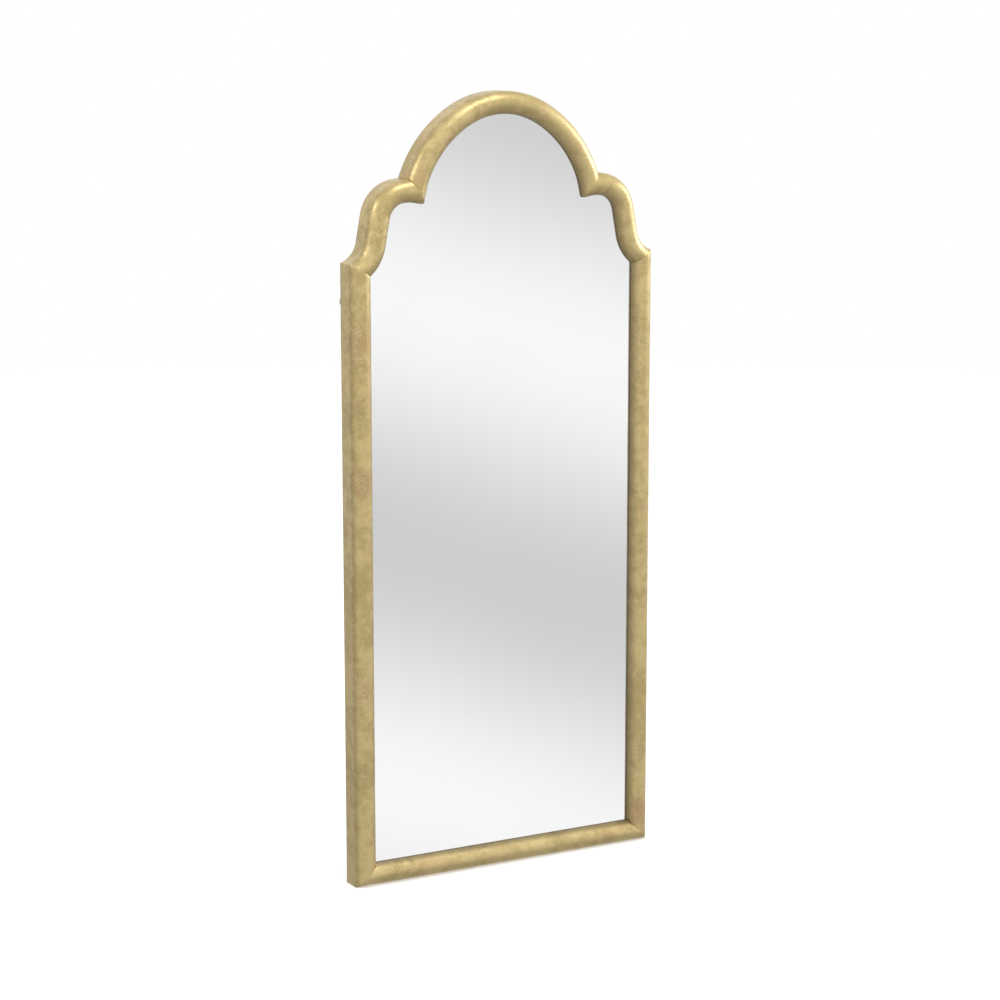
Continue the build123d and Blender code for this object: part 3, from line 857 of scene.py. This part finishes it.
class MIRROR_OT_battens(Build, bpy.types.Operator):
    """Softwood battens and blocks, and the plywood tongues in the mitres"""

    bl_idname = "mirror.battens"
    bl_label = "Battens and tongues"

    def execute(self, context):
        tones = (0.52, 0.32, 0.14), (0.36, 0.20, 0.08)
        upright = plain_material("softwood_upright", *tones, 60, (0.5, 0.65), (1, 1, 0.05))
        lying = plain_material("softwood_lying", *tones, 60, (0.5, 0.65), (0.05, 1, 1))
        plies = plain_material("birch_ply", (0.50, 0.33, 0.17), (0.38, 0.23, 0.11),
                               50, (0.5, 0.65), (1, 6, 1))
        paint(upright, "right_batten", "left_batten", "shoulder_blocks")
        paint(lying, "bottom_batten", "arch_blocks")
        paint(plies, "mitre_tongues")
        return {"FINISHED"}


class MIRROR_OT_rubbers(Build, bpy.types.Operator):
    """Rubber under and beside the glass, and the two feet against the wall"""

    bl_idname = "mirror.rubbers"
    bl_label = "Rubber pieces"

    def execute(self, context):
        rubber = plain_material("black_rubber", (0.012, 0.012, 0.012), (0.022, 0.021, 0.020),
                                90, (0.62, 0.75))
        paint(rubber, "setting_blocks", "edge_spacers")
        for side in ("right", "left"):
            node = side + "_wall_bumper"
            mesh = foot_mesh(node + "_soft", node)
            place(node + "_soft", mesh, rubber, "frame", "black_rubber", node)
        return {"FINISHED"}


class MIRROR_OT_fixings(Build, bpy.types.Operator):
    """Corner braces and every countersunk screw"""

    bl_idname = "mirror.fixings"
    bl_label = "Braces and screws"

    def execute(self, context):
        h = sizes("mirror_hardware")
        zinc = plain_material("bright_zinc", (0.52, 0.53, 0.54), (0.36, 0.37, 0.38),
                              70, (0.28, 0.46), metallic=1.0)
        brass = plain_material("yellow_zinc", (0.60, 0.50, 0.24), (0.44, 0.34, 0.15),
                               160, (0.28, 0.42), metallic=1.0)
        plates = pressed_copy("corner_braces_pressed", "corner_braces")
        braces = place("corner_braces_pressed", plates, zinc, "frame", "zinc_steel",
                       "corner_braces")
        round_edges(braces, h.plate_edge)
        for node in ("panel_screws", "brace_screws", "hanger_screws"):
            place(node + "_turned", screws_mesh(node), brass, "frame", "screw_steel", node)
        return {"FINISHED"}


def round_edges(piece, width):
    """Bevels a plate's edges and leaves its flat faces as they are."""
    bevel = piece.modifiers.new("pressed edge", "BEVEL")
    bevel.width, bevel.segments, bevel.limit_method = width, 2, "ANGLE"
    bevel.angle_limit = np.radians(40)


class MIRROR_OT_hangers(Build, bpy.types.Operator):
    """Curled straps and the two rings that swing in them"""

    bl_idname = "mirror.hangers"
    bl_label = "Hangers"

    def execute(self, context):
        h = sizes("mirror_hardware")
        zinc = plain_material("strap_zinc", (0.50, 0.51, 0.52), (0.34, 0.35, 0.36),
                              110, (0.26, 0.44), metallic=1.0)
        nickel = plain_material("nickel_wire", (0.62, 0.60, 0.56), (0.50, 0.48, 0.45),
                                140, (0.16, 0.28), metallic=1.0)
        for joint in frame["joints"]:
            side = joint["name"].split("_")[0]
            node = side + "_hanger_strap"
            plate = pressed_copy(node + "_pressed", node)
            strap = place(node + "_pressed", plate, zinc, "frame", "zinc_steel", node)
            round_edges(strap, h.plate_edge)
            ring = side + "_hanger_ring"
            low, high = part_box(ring)
            mesh = ring_mesh(ring + "_wire", joint, (high[0] - low[0]) / 2 - h.wire_radius)
            place(ring + "_wire", mesh, nickel, joint["child"], "ring_steel", ring)
        return {"FINISHED"}


class MIRROR_OT_stage(Build, bpy.types.Operator):
    """Pale floor, soft surroundings, three lamps and the camera"""

    bl_idname = "mirror.stage"
    bl_label = "Stage"

    def execute(self, context):
        t = sizes("mirror_stage")
        turn = np.linspace(0, 2 * np.pi, FLOOR_SIDES + 1)[:-1]
        ring = t.floor_radius * toward(turn)
        mesh = bpy.data.meshes.new("floor")
        mesh.from_pydata([(x, y, low_corner[2]) for x, y in ring], [], [list(range(FLOOR_SIDES))])
        mesh.materials.append(floor_material(t))
        linked("floor", mesh)
        surroundings(t)
        for name, (size, spot) in LAMPS.items():
            data = bpy.data.lights.new(name, "AREA")
            data.energy, data.size = getattr(t, name), size
            lamp = linked(name, data)
            lamp.location = spot
            lamp.rotation_euler = (-Vector(spot)).to_track_quat("-Z", "Y").to_euler()
        view = bpy.data.cameras.new("camera")
        view.lens, view.sensor_width = CAMERA_LENS, SENSOR_WIDTH
        camera = linked("camera", view)
        camera.location, camera.rotation_euler = CAMERA_PLACE, CAMERA_TURN
        bpy.context.scene.camera = camera
        bpy.context.scene.view_settings.view_transform = "Standard"
        return {"FINISHED"}


def floor_material(t):
    """Matte floor, lifted to white for the camera and left out of reflections."""
    made = bpy.data.materials.new("pale_floor")
    made.use_nodes = True
    tree = made.node_tree
    tree.nodes.remove(tree.nodes["Principled BSDF"])
    start = Signal(tree)
    path = tree.nodes.new("ShaderNodeLightPath")
    camera = Signal(tree, path.outputs["Is Camera Ray"])
    glossy = Signal(tree, path.outputs["Is Glossy Ray"])
    matte = start.node("BsdfDiffuse", {"Color": paint_value(t.floor)})
    lift = start.node("Emission", {"Color": (1, 1, 1, 1), "Strength": camera * t.floor_lift})
    both = start.node("AddShader", {0: matte, 1: lift})
    clear = start.node("BsdfTransparent")
    mixed = start.node("MixShader", {0: glossy, 1: both, 2: clear})
    tree.links.new(mixed.socket, tree.nodes["Material Output"].inputs["Surface"])
    return made


def surroundings(t):
    """White to the camera. To the rest, a room that is darker below, with soft bright and dark
    bands under eye height, which a cosine of the elevation gives."""
    world = bpy.data.worlds.new("studio")
    bpy.context.scene.world = world
    world.use_nodes = True
    tree = world.node_tree
    start = Signal(tree)
    x, y, z = start.node("TexCoord", output="Generated").parts()
    camera = start.node("LightPath", output="Is Camera Ray")
    grey = [(height, (level, level, level, 1)) for height, level in ROOM_GREY]
    height = z * 0.5 + 0.5
    room = height.node("ValToRGB", {0: height}, stops=grey)
    dim = (1 - x.rise(-0.9, 0.0)) * y.rise(-0.4, 0.3)
    low = x.rise(-0.2, 0.4) * y.rise(0.2, 0.8) * (1 - z.rise(-0.3, -0.05))
    side = 1 - dim * 0.38 + low * 0.7
    level = room.node("SeparateColor", {0: room}) * side * (t.surroundings / FULL_SURROUNDINGS)
    elevation = z.math("ARCSINE") * (180 / np.pi)
    heading = x.math("ARCTAN2", y * -1.0) * (180 / np.pi)
    aside = heading - BAND_HEADING
    swing = (elevation - BAND_HEIGHT + aside * BAND_LEAN) * (2 * np.pi / BAND_PITCH)
    bands = swing.math("COSINE") * BAND_SWING + BAND_LEVEL
    across = 1 - aside.math("ABSOLUTE").rise(8.0, 24.0)
    window = elevation.rise(-27.0, -19.0) * (1 - elevation.rise(-1.0, 6.0)) * across
    level = level * (1 - window) + bands * window
    seen = camera + level * (1 - camera)
    back = tree.nodes["Background"]
    tree.links.new(seen.socket, back.inputs["Color"])


class MIRROR_PT_sidebar(bpy.types.Panel):
    """Lists the steps and the values behind them"""

    bl_idname = "MIRROR_PT_sidebar"
    bl_label = "Arched Mirror"
    bl_space_type = "VIEW_3D"
    bl_region_type = "UI"
    bl_category = "Mirror"

    def draw(self, context):
        for step in STEPS:
            self.layout.operator(step.bl_idname)
        for name in GROUPS:
            group = sizes(name)
            box = self.layout.box()
            box.label(text=name.replace("_", " ").capitalize())
            for key in group.bl_rna.properties.keys():
                if key not in ("rna_type", "name"):
                    box.prop(group, key)


GROUPS = {"mirror_outline": MirrorOutline, "mirror_section": MirrorSection,
          "mirror_gilding": MirrorGilding, "mirror_hardware": MirrorHardware,
          "mirror_stage": MirrorStage}
STEPS = (MIRROR_OT_mouldings, MIRROR_OT_sheets, MIRROR_OT_battens, MIRROR_OT_rubbers,
         MIRROR_OT_fixings, MIRROR_OT_hangers, MIRROR_OT_stage)


def register():
    for kind in (*GROUPS.values(), *STEPS, MIRROR_PT_sidebar):
        bpy.utils.register_class(kind)
    for name, kind in GROUPS.items():
        setattr(bpy.types.Scene, name, PointerProperty(type=kind))


def unregister():
    for name in GROUPS:
        delattr(bpy.types.Scene, name)
    for kind in (MIRROR_PT_sidebar, *reversed(STEPS), *reversed(list(GROUPS.values()))):
        bpy.utils.unregister_class(kind)


def main():
    register()
    for step in STEPS:
        family, name = step.bl_idname.split(".")
        getattr(getattr(bpy.ops, family), name)()


if __name__ == "__main__":
    main()
